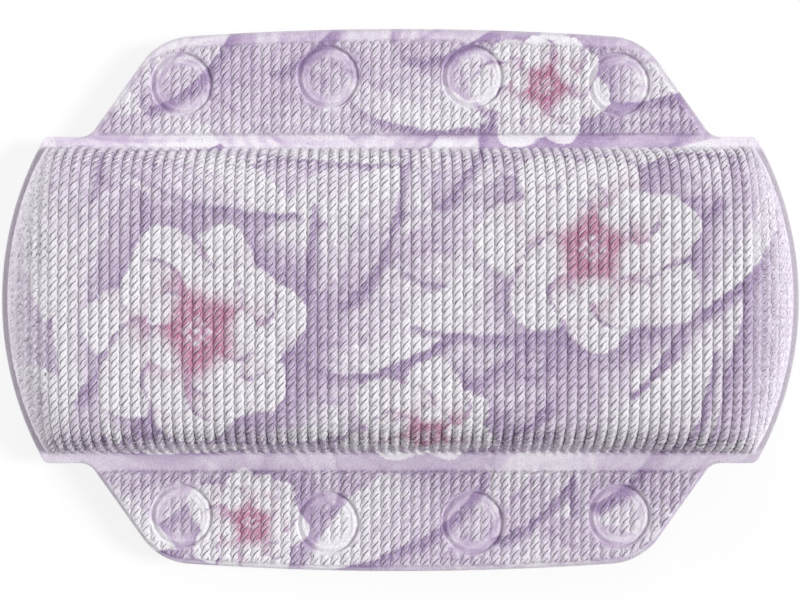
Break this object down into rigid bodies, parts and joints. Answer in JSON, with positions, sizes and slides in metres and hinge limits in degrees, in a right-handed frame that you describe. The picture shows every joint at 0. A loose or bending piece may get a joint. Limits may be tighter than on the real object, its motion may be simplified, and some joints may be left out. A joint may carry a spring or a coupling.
{
  "type": "bath pillow",
  "caption": "Welded bath pillow: a crowned, rope-embossed front over a foam core, with hinged flaps whose suction cups grip a tub wall.",
  "frame": {"origin": "middle of the pillow, on the plane of the suction cups' sealing rims", "axes": "+X along the pillow, +Y to the upper flap, +Z out of the crowned front"},
  "size_m": [0.32, 0.2176, 0.041],
  "materials": {
    "front_sheet": "embossed soft PVC foam, printed, satin",
    "back_sheet": "plain soft PVC sheet with a fine grain",
    "foam": "open-cell soft foam",
    "suction_cup": "soft milky-clear PVC, smooth"
  },
  "bodies": {
    "pillow": {"front_cover": "front_sheet", "back_cover": "back_sheet", "foam_core": "foam"},
    "upper_flap": {"upper_flap_front": "front_sheet", "upper_flap_back": "back_sheet", "upper_suction_cup_1": "suction_cup", "upper_suction_cup_2": "suction_cup", "upper_suction_cup_3": "suction_cup", "upper_suction_cup_4": "suction_cup"},
    "lower_flap": {"lower_flap_front": "front_sheet", "lower_flap_back": "back_sheet", "lower_suction_cup_1": "suction_cup", "lower_suction_cup_2": "suction_cup", "lower_suction_cup_3": "suction_cup", "lower_suction_cup_4": "suction_cup"}
  },
  "joints": [
    {"name": "upper_flap_hinge", "type": "hinge", "parent": "pillow", "child": "upper_flap", "pos_m": [0, 0.0667, 0.011], "axis": [-1, 0, 0], "range_deg": [-60, 60], "stiffness_Nm_per_rad": 0.15},
    {"name": "lower_flap_hinge", "type": "hinge", "parent": "pillow", "child": "lower_flap", "pos_m": [0, -0.0667, 0.011], "axis": [1, 0, 0], "range_deg": [-60, 60], "stiffness_Nm_per_rad": 0.15}
  ]
}
